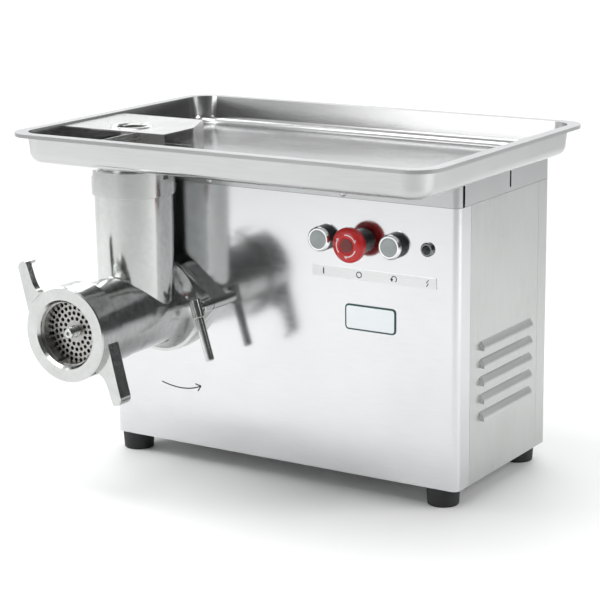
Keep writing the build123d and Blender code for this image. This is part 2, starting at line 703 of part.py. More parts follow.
# ---------------------------------------------------------------- clamp screw at the head's ear
hub_d, hub_r, hub_l = -40.0, 7.0, 22.0
handle_r, handle_end, handle_tilt = 5.2, 63.0, radians(16.5)
along = (sin(handle_tilt), 0, -cos(handle_tilt))
clamp_at = (clamp_x, depth(hub_d), clamp_z)
with BuildPart() as clamp_screw:
    with BuildSketch(facing(11)):
        with Locations((clamp_x, clamp_z)):
            Circle(4)
    extrude(amount=27)
    with BuildSketch(facing(-15.3)):
        with Locations((clamp_x, clamp_z)):
            Circle(7.9)
    extrude(amount=17)
    chamfer(clamp_screw.edges().filter_by(GeomType.CIRCLE).sort_by(Axis.Y)[0], 1)
    with BuildSketch(facing(-32)):
        with Locations((clamp_x, clamp_z)):
            Circle(5.5)
    extrude(amount=8)
    with Locations(Plane(origin=clamp_at, z_dir=along)):
        Cylinder(hub_r, hub_l)
    rims = clamp_screw.edges().filter_by(GeomType.CIRCLE)
    fillet(rims.filter_by(lambda e: abs(e.radius - hub_r) < 0.01), 1)
pieces["clamp_screw"] = clamp_screw

with BuildPart() as clamp_handle:
    with Locations(Plane(origin=clamp_at, z_dir=along).offset(hub_l / 2)):
        Cylinder(4.2, 4, align=(Align.CENTER, Align.CENTER, Align.MIN))
    with Locations(Plane(origin=clamp_at, z_dir=along).offset(hub_l / 2 + 1.2)):
        Cylinder(handle_r, handle_end - hub_l / 2 - 1.2, align=(Align.CENTER, Align.CENTER, Align.MIN))
    fillet(clamp_handle.edges().filter_by(GeomType.CIRCLE).sort_by(Axis.Z)[0], 1.6)
pieces["clamp_handle"] = clamp_handle

# ---------------------------------------------------------------- gearbox
lay_case_r, motor_case_r, output_case_r = 62.0, 48.0, 71.0
case_bolt_spots = [(head_x + 66 * cos(radians(a)), axis_z + 66 * sin(radians(a)))
                   for a in (90, 150, 225)]
case_bolt_spots += [(lay_x + 57 * cos(a), lay_z + 57 * sin(a)) for a in (radians(-95), radians(-60))]
case_bolt_spots += [(motor_x + 43 * cos(a), motor_z + 43 * sin(a)) for a in (radians(-10), radians(60))]


def case_outline(grow):
    """The gearbox's outline round its three shafts, grown or, if negative, shrunk."""
    with BuildSketch() as outline:
        with Locations((head_x, axis_z)):
            Circle(output_case_r + grow)
        with Locations((lay_x, lay_z)):
            Circle(lay_case_r + grow)
        with Locations((motor_x, motor_z)):
            Circle(motor_case_r + grow)
        make_hull()
    return outline.sketch


with BuildPart() as gearbox_case:
    with BuildSketch(facing(case_d1)):
        add(case_outline(0))
    extrude(amount=case_d1 - case_d0)
    with BuildSketch(facing(case_d1)):
        for x in (body_left + 44, lay_x + 34):
            with Locations((x, (foot_h + 2 + 140) / 2)):
                Rectangle(24, 140 - foot_h - 2)
    extrude(amount=case_d1 - case_d0 - 4)
    with BuildSketch(facing(case_d1)):
        add(case_outline(-10.5))
    extrude(amount=case_d1 - wall_d1, mode=Mode.SUBTRACT)
    with BuildSketch(facing(wall_d1)):
        with Locations((head_x, axis_z)):
            Circle(mouth_r + 0.1)
        with Locations((lay_x, lay_z)):
            Circle(small_race)
        with Locations((head_x, axis_z)):
            with PolarLocations(50, 4, start_angle=45):
                Circle(3.1)
    extrude(amount=wall_d1 - case_d0, mode=Mode.SUBTRACT)
    with BuildSketch(facing(12)):
        with Locations((clamp_x, clamp_z)):
            Circle(4 + fit)
    extrude(amount=10, mode=Mode.SUBTRACT)
    with BuildSketch(facing(case_d1)):
        with Locations(*case_bolt_spots):
            Circle(2.6)
    extrude(amount=14, mode=Mode.SUBTRACT)
pieces["gearbox_case"] = gearbox_case

with BuildPart() as gearbox_cover:
    with BuildSketch(facing(cover_d1)):
        add(case_outline(0))
        with Locations((head_x, axis_z)):
            Circle(large_race, mode=Mode.SUBTRACT)
        with Locations((lay_x, lay_z), (motor_x, motor_z)):
            Circle(small_race, mode=Mode.SUBTRACT)
        with Locations(*case_bolt_spots):
            Circle(2.7, mode=Mode.SUBTRACT)
    extrude(amount=cover_d1 - case_d1)
pieces["gearbox_cover"] = gearbox_cover

with BuildPart() as gearbox_bolts:
    with BuildSketch(facing(cover_d1)):
        with Locations(*case_bolt_spots):
            Circle(2.5)
    extrude(amount=24)
    with BuildSketch(facing(cover_d1 + 5)):
        with Locations(*case_bolt_spots):
            Circle(4.3)
            RegularPolygon(2.2, 6, mode=Mode.SUBTRACT)
    extrude(amount=5)
pieces["gearbox_bolts"] = gearbox_bolts


def bearing(d0, race_r, bore, x, z):
    """A deep-groove ball bearing, closed by its shields, 12 wide."""
    step = (race_r - bore) * 0.3
    groove = 0.8
    return turned([(d0, bore + fit), (d0, bore + step), (d0 + groove, bore + step),
                   (d0 + groove, race_r - step),
                   (d0, race_r - step), (d0, race_r), (d0 + 12, race_r), (d0 + 12, race_r - step),
                   (d0 + 12 - groove, race_r - step), (d0 + 12 - groove, bore + step),
                   (d0 + 12, bore + step), (d0 + 12, bore + fit)], x, z)


output_bearing_spots = [8.0, case_d1]
with BuildPart() as output_bearings:
    for d in output_bearing_spots:
        add(bearing(d, large_race, shaft_r, head_x, axis_z).part)
pieces["output_bearings"] = output_bearings

with BuildPart() as layshaft_bearings:
    for d in (case_d0, case_d1):
        add(bearing(d, small_race, small_r, lay_x, lay_z).part)
pieces["layshaft_bearings"] = layshaft_bearings

output_gear_d = (21.0, 41.0)
lay_gear_d = (43.5, 55.5)
with BuildPart() as output_shaft:
    with BuildSketch(facing(2)):
        with Locations((head_x, axis_z)):
            Rectangle(15, 15)
    extrude(amount=15.5)
    with BuildSketch(facing(cover_d1 - 0.2)):
        with Locations((head_x, axis_z)):
            Circle(shaft_r)
    extrude(amount=cover_d1 - 2.2)
pieces["output_shaft"] = output_shaft

pieces["output_gear"] = gear(output_teeth, lay_angle, *output_gear_d, shaft_r, head_x, axis_z, windows=6)

lay_pinion_phase = lay_angle + pi + pi / pinion_teeth
with BuildPart() as layshaft:
    with BuildSketch(facing(cover_d1 - 0.2)):
        with Locations((lay_x, lay_z)):
            Circle(small_r)
    extrude(amount=cover_d1 - case_d0 - 0.6)
    with BuildSketch(facing(output_gear_d[1] + 1)):
        with Locations((lay_x, lay_z)):
            Polygon(*gear_outline(pinion_teeth, lay_pinion_phase), align=None)
    extrude(amount=output_gear_d[1] - output_gear_d[0] + 2)
pieces["layshaft"] = layshaft

pieces["layshaft_gear"] = gear(lay_teeth, motor_angle, *lay_gear_d, small_r, lay_x, lay_z, windows=5)

# ---------------------------------------------------------------- motor
motor_d1, shield_d1 = 182.0, 194.0
frame_r, frame_in, fin_h, fin_count = 60.0, 55.0, 6.0, 28
core_d0, core_d1 = 91.0, 161.0
rotor_r, stator_in = 34.5, 35.2
slot_count = 24

with BuildPart() as motor_frame:
    with BuildSketch(facing(motor_d1)):
        with Locations((motor_x, motor_z)):
            Circle(frame_r)
            with PolarLocations(frame_r + fin_h / 2 - 0.5, fin_count):
                Rectangle(fin_h + 1, 2.4)
            Circle(frame_in, mode=Mode.SUBTRACT)
    extrude(amount=motor_d1 - cover_d1 - 5)
    with BuildSketch(facing(cover_d1 + 5)):
        with Locations((motor_x, motor_z)):
            Circle(frame_r)
            Circle(frame_in, mode=Mode.SUBTRACT)
    extrude(amount=5)
pieces["motor_frame"] = motor_frame

with BuildPart() as stator:
    for d0, d1 in ((core_d0 - 14, core_d0), (core_d1, core_d1 + 14)):
        with BuildSketch(facing(d1)):
            with Locations((motor_x, motor_z)):
                Circle(50)
                Circle(38, mode=Mode.SUBTRACT)
        extrude(amount=d1 - d0)
    fillet(stator.edges().filter_by(GeomType.CIRCLE), 3)
    with BuildSketch(facing(core_d1)):
        with Locations((motor_x, motor_z)):
            Circle(frame_in)
            Circle(stator_in, mode=Mode.SUBTRACT)
    extrude(amount=core_d1 - core_d0)
    with BuildSketch(facing(core_d1)):
        with Locations((motor_x, motor_z)):
            with PolarLocations(37.4, slot_count):
                Rectangle(4.6, 2.2)
    extrude(amount=core_d1 - core_d0, mode=Mode.SUBTRACT)
pieces["stator"] = stator

pieces["motor_end_shield"] = turned(
    [(motor_d1, small_race), (motor_d1, frame_r + 3), (shield_d1 - 4, frame_r + 3), (shield_d1, frame_r - 6),
     (shield_d1, small_race)], motor_x, motor_z)

with BuildPart() as motor_bearings:
    for d in (case_d1, motor_d1):
        add(bearing(d, small_race, small_r, motor_x, motor_z).part)
pieces["motor_bearings"] = motor_bearings

fan_d0, fan_d1 = 198.0, 211.0
rotor_shaft = sleeve(lay_gear_d[0] - 1, fan_d1 + 1, small_r, 0, (motor_x, motor_z))
pieces["rotor_shaft"] = rotor_shaft

with BuildPart() as rotor_core:
    with BuildSketch(facing(core_d1)):
        with Locations((motor_x, motor_z)):
            Circle(rotor_r)
            Circle(small_r, mode=Mode.SUBTRACT)
    extrude(amount=core_d1 - core_d0)
    for d1 in (core_d0, core_d1 + 5):
        with BuildSketch(facing(d1)):
            with Locations((motor_x, motor_z)):
                Circle(rotor_r - 1)
                Circle(rotor_r - 12, mode=Mode.SUBTRACT)
        extrude(amount=5)
pieces["rotor_core"] = rotor_core

pinion_phase = motor_angle + pi + pi / pinion_teeth
pieces["motor_pinion"] = gear(pinion_teeth, pinion_phase, lay_gear_d[0] - 0.5, lay_gear_d[1] + 0.5, small_r,
                              motor_x, motor_z)

with BuildPart() as cooling_fan:
    with BuildSketch(facing(fan_d1)):
        with Locations((motor_x, motor_z)):
            Circle(16)
            Circle(small_r, mode=Mode.SUBTRACT)
    extrude(amount=fan_d1 - fan_d0)
    with BuildSketch(facing(fan_d0 + 2)):
        with Locations((motor_x, motor_z)):
            Circle(50)
            Circle(small_r, mode=Mode.SUBTRACT)
    extrude(amount=2)
    with BuildSketch(facing(fan_d1)):
        with Locations((motor_x, motor_z)):
            with PolarLocations(32, 9):
                Rectangle(35, 2)
    extrude(amount=fan_d1 - fan_d0)
pieces["cooling_fan"] = cooling_fan

cowl_r, cowl_d1 = 65.0, 218.0
with BuildPart() as fan_cowl:
    with BuildSketch(facing(cowl_d1)):
        with Locations((motor_x, motor_z)):
            Circle(cowl_r)
    extrude(amount=cowl_d1 - motor_d1 - 3)
    with BuildSketch(facing(cowl_d1 - 1.2)):
        with Locations((motor_x, motor_z)):
            Circle(cowl_r - 1.8)
    extrude(amount=cowl_d1 - motor_d1, mode=Mode.SUBTRACT)
    with BuildSketch(facing(cowl_d1)):
        with Locations((motor_x, motor_z)):
            for ring_r, count in ((20, 8), (32, 12), (44, 16)):
                with PolarLocations(ring_r, count):
                    Circle(3.6)
    extrude(amount=1.2, mode=Mode.SUBTRACT)
pieces["fan_cowl"] = fan_cowl

# ---------------------------------------------------------------- controls
bezel_r, bezel_l, cap_r = 14.0, 13.0, 10.4
button_spots = [(start_x, control_z), (reverse_x, control_z)]
nut_spots = button_spots + [(stop_x, control_z)]

with BuildPart() as button_bezels:
    with BuildSketch(facing(0)):
        with Locations(*button_spots):
            Circle(bezel_r)
            Circle(cap_r + gap, mode=Mode.SUBTRACT)
    extrude(amount=bezel_l)
    outer_rims = button_bezels.edges().filter_by(GeomType.CIRCLE).filter_by(lambda e: e.radius > 13)
    chamfer(outer_rims.group_by(Axis.Y)[0],
            1.6)
    with BuildSketch(facing(20)):
        with Locations(*button_spots):
            Circle(11)
            Circle(8.2, mode=Mode.SUBTRACT)
    extrude(amount=20)
pieces["button_bezels"] = button_bezels

with BuildPart() as button_nuts:
    with BuildSketch(facing(6)):
        with Locations(*nut_spots):
            Circle(14)
            Circle(11 + 0.02, mode=Mode.SUBTRACT)
            with PolarLocations(14, 6):
                Rectangle(2, 3, mode=Mode.SUBTRACT)
    extrude(amount=6 - sheet)
pieces["button_nuts"] = button_nuts


def push_button(x):
    """A flush cap with its stem, proud of its bezel by less than its travel."""
    with BuildPart() as button:
        with BuildSketch(facing(-bezel_l + 8)):
            with Locations((x, control_z)):
                Circle(cap_r)
        extrude(amount=8.4)
        fillet(button.edges().filter_by(GeomType.CIRCLE).group_by(Axis.Y)[0], 0.8)
        with BuildSketch(facing(14)):
            with Locations((x, control_z)):
                Circle(5)
        extrude(amount=20)
    return button


pieces["start_button"] = push_button(start_x)
pieces["reverse_button"] = push_button(reverse_x)

stop_r, stop_face, stop_back = 20.0, -28.5, -18.0
pieces["stop_collar"] = turned([(-12, 11.4), (-12, 12.9), (-10.9, 14), (0, 14), (0, 11), (20, 11), (20, 8.3),
                                (-3, 8.3), (-3, 11.4)], stop_x, control_z)
with BuildPart() as stop_button:
    with BuildSketch(Plane(origin=(stop_x, front_y, control_z), x_dir=(0, 1, 0), z_dir=(1, 0, 0))):
        with BuildLine():
            Polyline((stop_face + 0.9, 0), (stop_face + 0.9, 9), (stop_face, 9.8))
            rim = ThreePointArc((stop_face, 9.8), (stop_face + 0.9, 16.5), (stop_face + 4.5, stop_r))
            Polyline(rim @ 1, (stop_back - 1, stop_r), (stop_back, stop_r - 1.2), (stop_back, 6 + fit),
                     (stop_face + 4, 6 + fit), (stop_face + 4, 0), (stop_face + 0.9, 0))
        make_face()
    revolve(axis=Axis((stop_x, front_y, control_z), (0, 1, 0)))
pieces["stop_button"] = stop_button

pieces["stop_stem"] = turned([(stop_face + 4.3, 0), (stop_face + 4.3, 6), (stop_back + 0.3, 6),
                              (stop_back + 0.3, 11),
                              (-9, 11), (-9, 8), (14, 8), (14, 0)], stop_x, control_z)

with BuildPart() as contact_blocks:
    with BuildSketch(facing(52)):
        with Locations(*nut_spots):
            Rectangle(29, 36)
    extrude(amount=32)
    with BuildSketch(facing(52)):
        with Locations(*[(x, z + s * 14) for x, z in nut_spots for s in (-1, 1)]):
            Rectangle(20, 5)
    extrude(amount=6, mode=Mode.SUBTRACT)
pieces["contact_blocks"] = contact_blocks

lens_r = 5.2
pieces["lamp_bezel"] = turned([(0, 6), (0, 8), (-2.5, 8), (-4, 6.8), (-4, lens_r + 0.1), (26, lens_r + 0.1),
                               (26, 6)], lamp_x, control_z)
with BuildPart() as lamp_lens:
    with BuildSketch(Plane(origin=(lamp_x, front_y, control_z), x_dir=(0, 1, 0), z_dir=(1, 0, 0))):
        with BuildLine():
            dome = ThreePointArc((-7.2, 0), (-6.2, 3.4), (-4, lens_r))
            Polyline(dome @ 1, (8, lens_r), (8, 0), (-7.2, 0))
        make_face()
    revolve(axis=Axis((lamp_x, front_y, control_z), (0, 1, 0)))
pieces["lamp_lens"] = lamp_lens

with BuildPart() as legend_plate:
    with BuildSketch(facing(0)):
        with Locations((body_left + 368, 258)):
            RectangleRounded(160, 12.6, 1)
    extrude(amount=0.8)
pieces["legend_plate"] = legend_plate

with BuildPart() as badge_plate:
    with BuildSketch(facing(0)):
        with Locations((body_left + 364, 208.5)):
            RectangleRounded(66, 30, 5)
    extrude(amount=1)
    fillet(badge_plate.faces().sort_by(Axis.Y)[0].edges(), 0.4)
pieces["badge_plate"] = badge_plate

# ---------------------------------------------------------------- mains inlet and switchgear
with BuildPart() as cable_gland:
    with BuildSketch(facing(body_d + 5)):
        with Locations((gland_x, gland_z)):
            RegularPolygon(12, 6)
    extrude(amount=5)
    with BuildSketch(facing(body_d + gland_l)):
        with Locations((gland_x, gland_z)):
            Circle(9.5)
    extrude(amount=gland_l - 5)
    fillet(cable_gland.edges().filter_by(GeomType.CIRCLE).sort_by(Axis.Y)[-1], 3)
    with BuildSketch(facing(body_d)):
        with Locations((gland_x, gland_z)):
            Circle(7.9)
    extrude(amount=12)
    with BuildSketch(facing(body_d - sheet)):
        with Locations((gland_x, gland_z)):
            RegularPolygon(11, 6)
    extrude(amount=5)
    with BuildSketch(facing(body_d + gland_l)):
        with Locations((gland_x, gland_z)):
            Circle(4.5)
    extrude(amount=gland_l + 12, mode=Mode.SUBTRACT)
pieces["cable_gland"] = cable_gland

rail_z = 120.0
rail_x = body_right - 92
with BuildPart() as contactor:
    with BuildSketch(facing(body_d - sheet)):
        with Locations((rail_x - 30, rail_z)):
            Rectangle(45, 74)
    extrude(amount=50)
    with BuildSketch(facing(body_d - sheet - 50)):
        with Locations((rail_x - 30, rail_z)):
            Rectangle(43, 44)
    extrude(amount=26)
    chamfer(contactor.faces().sort_by(Axis.Y)[0].edges(), 1.5)
    with BuildSketch(facing(body_d - sheet - 50)):
        with Locations((rail_x - 30, rail_z)):
            with GridLocations(12, 62, 3, 2):
                Circle(3.4)
    extrude(amount=-8, mode=Mode.SUBTRACT)
pieces["contactor"] = contactor

with BuildPart() as run_capacitor:
    with BuildSketch(Plane.XY.offset(foot_h + 2)):
        with Locations((rail_x - 10, front_y + 60)):
            Circle(21)
    extrude(amount=95)
    fillet(run_capacitor.edges().filter_by(GeomType.CIRCLE).sort_by(Axis.Z)[-1], 3)
    with BuildSketch(Plane.XY.offset(foot_h + 97)):
        with Locations((rail_x - 16, front_y + 60), (rail_x - 4, front_y + 60)):
            Rectangle(1, 6.3)
    extrude(amount=9)
pieces["run_capacitor"] = run_capacitor

for name, piece in pieces.items():
    piece.part.label = name
    export_step(piece.part, f"parts/{name}.step")
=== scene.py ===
import json
from math import atan2, cos, pi, radians, sin

import bpy
from mathutils import Matrix, Vector


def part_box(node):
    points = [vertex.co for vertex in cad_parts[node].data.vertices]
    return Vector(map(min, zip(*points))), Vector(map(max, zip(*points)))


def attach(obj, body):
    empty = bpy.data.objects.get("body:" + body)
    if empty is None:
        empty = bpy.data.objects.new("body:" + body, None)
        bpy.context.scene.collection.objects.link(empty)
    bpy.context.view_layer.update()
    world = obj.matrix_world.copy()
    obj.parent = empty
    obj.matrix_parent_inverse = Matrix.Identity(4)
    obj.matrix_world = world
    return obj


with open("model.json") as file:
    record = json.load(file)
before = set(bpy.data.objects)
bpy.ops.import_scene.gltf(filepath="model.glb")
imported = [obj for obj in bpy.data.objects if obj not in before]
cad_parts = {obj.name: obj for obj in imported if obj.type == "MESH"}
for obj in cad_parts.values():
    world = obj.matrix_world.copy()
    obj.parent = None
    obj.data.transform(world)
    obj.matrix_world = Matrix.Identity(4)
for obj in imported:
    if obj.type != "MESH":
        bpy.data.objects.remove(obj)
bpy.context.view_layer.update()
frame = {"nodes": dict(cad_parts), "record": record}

MM = 0.001


# ------------------------------------------------------------------ camera
def place_camera():
    """The viewing angle: from the right and above, with a long lens."""
    azimuth, elevation, roll = radians(32.42), radians(13.41), radians(-0.65)
    back = Vector((sin(azimuth) * cos(elevation), -cos(azimuth) * cos(elevation), sin(elevation)))
    right = Vector((cos(azimuth), sin(azimuth), 0))
    up = back.cross(right)
    turned = Matrix.Rotation(roll, 3, back)
    right, up = turned @ right, turned @ up
    data = bpy.data.cameras.new("camera")
    data.lens, data.sensor_width = 120.24, 36.0
    data.clip_start, data.clip_end = 0.05, 60.0
    camera = bpy.data.objects.new("camera", data)
    camera.matrix_world = Matrix((
        (right.x, up.x, back.x, 1.2074),
        (right.y, up.y, back.y, -1.9112),
        (right.z, up.z, back.z, 0.7527),
        (0, 0, 0, 1)))
    bpy.context.collection.objects.link(camera)
    bpy.context.scene.camera = camera


place_camera()


# ------------------------------------------------------------------ materials
class Nodes:
    """A small helper that adds and links shader nodes."""

    def __init__(self, name):
        self.material = bpy.data.materials.new(name)
        self.material.use_nodes = True
        self.tree = self.material.node_tree
        self.shader = self.tree.nodes["Principled BSDF"]

    def add(self, kind, **values):
        node = self.tree.nodes.new(kind)
        for key, value in values.items():
            if hasattr(node, key):
                setattr(node, key, value)
            else:
                node.inputs[key.replace("_", " ")].default_value = value
        return node

    def link(self, source, target):
        self.tree.links.new(source, target)

    def place(self, scale):
        """Object coordinates, in metres, stretched by scale."""
        where = self.add("ShaderNodeTexCoord")
        mapping = self.add("ShaderNodeMapping")
        mapping.inputs["Scale"].default_value = scale
        self.link(where.outputs["Object"], mapping.inputs["Vector"])
        return mapping.outputs["Vector"]

    def noise(self, scale, detail=4.0, rough=0.55, size=1.0):
        node = self.add("ShaderNodeTexNoise")
        node.inputs["Scale"].default_value = size
        node.inputs["Detail"].default_value = detail
        node.inputs["Roughness"].default_value = rough
        self.link(self.place(scale), node.inputs["Vector"])
        return node.outputs["Fac"]

    def remap(self, value, low, high, start=0.3, end=0.7):
        node = self.add("ShaderNodeMapRange")
        node.inputs["From Min"].default_value = start
        node.inputs["From Max"].default_value = end
        node.inputs["To Min"].default_value = low
        node.inputs["To Max"].default_value = high
        self.link(value, node.inputs["Value"])
        return node.outputs["Result"]

    def blend(self, factor, first, second):
        node = self.add("ShaderNodeMix", data_type="RGBA")
        node.inputs["A"].default_value = (*first, 1)
        node.inputs["B"].default_value = (*second, 1)
        self.link(factor, node.inputs["Factor"])
        return node.outputs["Result"]

    def bump(self, height, strength, distance=0.0002):
        node = self.add("ShaderNodeBump")
        node.inputs["Strength"].default_value = strength
        node.inputs["Distance"].default_value = distance
        self.link(height, node.inputs["Height"])
        self.link(node.outputs["Normal"], self.shader.inputs["Normal"])


def metal(name, dark, light, rough, grain, bump, blotch=9.0):
    """Metal with a directional grain, patchy polish and slightly uneven tone."""
    n = Nodes(name)
    n.shader.inputs["Metallic"].default_value = 1.0
    lines = n.noise(grain, detail=5.0, rough=0.6)
    patches = n.noise((blotch, blotch, blotch), detail=3.0)
    mixed = n.add("ShaderNodeMath", operation="MULTIPLY_ADD")
    mixed.inputs[1].default_value = 0.55
    n.link(lines, mixed.inputs[0])
    half = n.add("ShaderNodeMath", operation="MULTIPLY")
    half.inputs[1].default_value = 0.45
    n.link(patches, half.inputs[0])
    n.link(half.outputs[0], mixed.inputs[2])
    tone = mixed.outputs[0]
    n.link(n.blend(n.remap(tone, 0, 1), dark, light), n.shader.inputs["Base Color"])
    n.link(n.remap(tone, rough[0], rough[1]), n.shader.inputs["Roughness"])
    n.bump(lines, bump)
    return n.material


def moulded(name, dark, light, rough, grit=900.0, bump=0.15, speck=60.0):
    """Plastic, rubber or paint with a fine moulded texture."""
    n = Nodes(name)
    fine = n.noise((grit, grit, grit), detail=3.0)
    broad = n.noise((speck, speck, speck), detail=4.0)
    n.link(n.blend(n.remap(broad, 0, 1), dark, light), n.shader.inputs["Base Color"])
    n.link(n.remap(broad, rough[0], rough[1]), n.shader.inputs["Roughness"])
    n.bump(fine, bump, 0.0001)
    return n.material


ALONG_X, ALONG_Y, ALONG_Z = (30, 1400, 1400), (1400, 30, 1400), (1400, 1400, 30)
CAST = (160, 160, 160)
# dark tone, light tone, roughness from and to, grain, bump and, where it differs, size of the patches
METALS = {
    "panel": ((0.61, 0.62, 0.63), (0.71, 0.71, 0.72), (0.07, 0.17), ALONG_X, 0.035),
    "side": ((0.49, 0.50, 0.49), (0.60, 0.61, 0.60), (0.24, 0.38), ALONG_Z, 0.10),
    "cap": ((0.47, 0.48, 0.48), (0.57, 0.58, 0.58), (0.16, 0.28), ALONG_X, 0.06),
    "tray": ((0.46, 0.46, 0.46), (0.57, 0.57, 0.57), (0.13, 0.24), ALONG_X, 0.05, 7.0),
    "guard": ((0.46, 0.46, 0.455), (0.57, 0.57, 0.56), (0.18, 0.30), ALONG_Y, 0.06),
    "cast_steel": ((0.48, 0.49, 0.48), (0.61, 0.62, 0.61), (0.10, 0.22), CAST, 0.10, 22.0),
    "plate_steel": ((0.34, 0.34, 0.33), (0.50, 0.49, 0.47), (0.24, 0.40), CAST, 0.16, 60.0),
    "bezel_steel": ((0.72, 0.73, 0.74), (0.84, 0.85, 0.86), (0.05, 0.13), CAST, 0.02),
    "dark_chrome": ((0.14, 0.15, 0.15), (0.22, 0.23, 0.23), (0.10, 0.20), CAST, 0.02),
    "screw_steel": ((0.56, 0.56, 0.57), (0.70, 0.70, 0.71), (0.18, 0.32), CAST, 0.08),
    "gear_steel": ((0.40, 0.40, 0.41), (0.55, 0.55, 0.56), (0.25, 0.40), CAST, 0.15),
    "core_steel": ((0.20, 0.17, 0.14), (0.32, 0.27, 0.22), (0.40, 0.60), ALONG_X, 0.3),
    "bush_bronze": ((0.55, 0.36, 0.17), (0.74, 0.53, 0.30), (0.22, 0.38), CAST, 0.1),
    "gearbox_casting": ((0.42, 0.43, 0.44), (0.58, 0.58, 0.59), (0.45, 0.65), CAST, 0.6),
    "motor_aluminium": ((0.48, 0.49, 0.50), (0.62, 0.63, 0.64), (0.35, 0.52), CAST, 0.4),
    "label_film": ((0.62, 0.63, 0.63), (0.71, 0.72, 0.72), (0.20, 0.30), ALONG_X, 0.03),
    "badge_face": ((0.60, 0.63, 0.64), (0.70, 0.73, 0.74), (0.12, 0.22), ALONG_X, 0.03),
}
# dark tone, light tone, roughness from and to and, where they differ, fineness and depth of the texture
MOULDINGS = {
    "cowl_paint": ((0.10, 0.12, 0.15), (0.13, 0.15, 0.18), (0.38, 0.50)),
    "foot_rubber": ((0.012, 0.012, 0.013), (0.026, 0.026, 0.028), (0.55, 0.75), 700, 0.35),
    "switch_plastic": ((0.015, 0.016, 0.018), (0.03, 0.03, 0.034), (0.30, 0.45)),
    "button_plastic": ((0.36, 0.40, 0.40), (0.44, 0.48, 0.48), (0.35, 0.48), 1200, 0.08),
    "stop_plastic": ((0.50, 0.012, 0.014), (0.62, 0.022, 0.024), (0.16, 0.28), 900, 0.05),
    "stop_centre": ((0.13, 0.018, 0.016), (0.20, 0.026, 0.024), (0.30, 0.45), 900, 0.10),
    "lens_plastic": ((0.008, 0.012, 0.016), (0.016, 0.022, 0.028), (0.05, 0.14), 900, 0.02),
    "badge_edge": ((0.010, 0.060, 0.055), (0.018, 0.085, 0.078), (0.28, 0.42)),
    "ink": ((0.020, 0.022, 0.024), (0.045, 0.047, 0.050), (0.45, 0.60)),
    "white_mark": ((0.78, 0.66, 0.66), (0.88, 0.78, 0.78), (0.30, 0.45)),
}
looks = {name: metal(name, *row) for name, row in METALS.items()}
looks.update((name, moulded(name, *row)) for name, row in MOULDINGS.items())

# looks of single nodes, then of a slot whose look has another name; any other slot's look has its own name
by_node = {
    "front_panel": "panel", "left_side_panel": "side", "right_side_panel": "side", "rear_cover": "side",
    "base_frame": "side", "top_cap": "cap", "tray": "tray", "throat_guard": "guard",
    "badge_plate": "badge_edge", "stop_collar": "switch_plastic", "lamp_bezel": "dark_chrome",
}
by_slot = {"bearing_steel": "screw_steel"}
slots = {row["node"]: row["material_slot"] for row in frame["record"]["subparts"]}
for node, thing in frame["nodes"].items():
    slot = slots[node]
    look = looks[by_node.get(node) or by_slot.get(slot) or slot]
    for place in thing.material_slots:
        place.link = "OBJECT"
        place.material = look
    if not thing.material_slots:
        thing.data.materials.append(look)


# ------------------------------------------------------------------ detail pieces
def piece(name, vertices, faces, look, body, slot):
    """A new mesh piece with its material, riding on a body."""
    mesh = bpy.data.meshes.new(name)
    mesh.from_pydata([tuple(v) for v in vertices], [], faces)
    mesh.validate()
    mesh.materials.append(looks[look])
    thing = bpy.data.objects.new(name, mesh)
    bpy.context.collection.objects.link(thing)
    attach(thing, body)
    return thing


def middle(node):
    """The middle of a node's box at rest."""
    low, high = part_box(node)
    return [(a + b) / 2 for a, b in zip(low, high)]


def prism(outline, y_front, y_back):
    """Vertices and faces of a plate with an x, z outline, listed anticlockwise as the user sees it."""
    count = len(outline)
    vertices = [(x, y_front, z) for x, z in outline] + [(x, y_back, z) for x, z in outline]
    faces = [tuple(range(count)), tuple(reversed(range(count, 2 * count)))]
    for i in range(count):
        j = (i + 1) % count
        faces.append((i, i + count, j + count, j))
    return vertices, faces


def joined(parts):
    """Several (vertices, faces) meshes as one."""
    vertices, faces = [], []
    for some, sides in parts:
        start = len(vertices)
        vertices += some
        faces += [tuple(i + start for i in face) for face in sides]
    return vertices, faces


def stroke(points, width, y_front, y_back):
    """A plate that follows a line of x, z points at an even width."""
    left, right = [], []
    for i, (x, z) in enumerate(points):
        x0, z0 = points[max(i - 1, 0)]
        x1, z1 = points[min(i + 1, len(points) - 1)]
        length = ((x1 - x0) ** 2 + (z1 - z0) ** 2) ** 0.5
        across = (-(z1 - z0) / length * width / 2, (x1 - x0) / length * width / 2)
        left.append((x + across[0], z + across[1]))
        right.append((x - across[0], z - across[1]))
    return prism(right + left[::-1], y_front, y_back)


def arc(x, z, radius, start, end, steps=20):
    """Points along an arc in x and z, from one angle to another."""
    angles = [start + (end - start) * i / steps for i in range(steps + 1)]
    return [(x + radius * cos(a), z + radius * sin(a)) for a in angles]


def arrow_head(tip, heading, size, y_front, y_back):
    """A solid arrow head at tip, pointing along the angle heading."""
    points = [tip]
    for turn in (2.62, -2.62):
        points.append((tip[0] + size * cos(heading + turn), tip[1] + size * sin(heading + turn)))
    return prism(points, y_front, y_back)


panel_left, panel_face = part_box("front_panel")[0][:2]
PROUD = 0.12 * MM                    # how far printed marks stand off their surface


def on_panel(x, z):
    """A point of the front panel from its left edge and the table, given in millimetres."""
    return panel_left + x * MM, z * MM


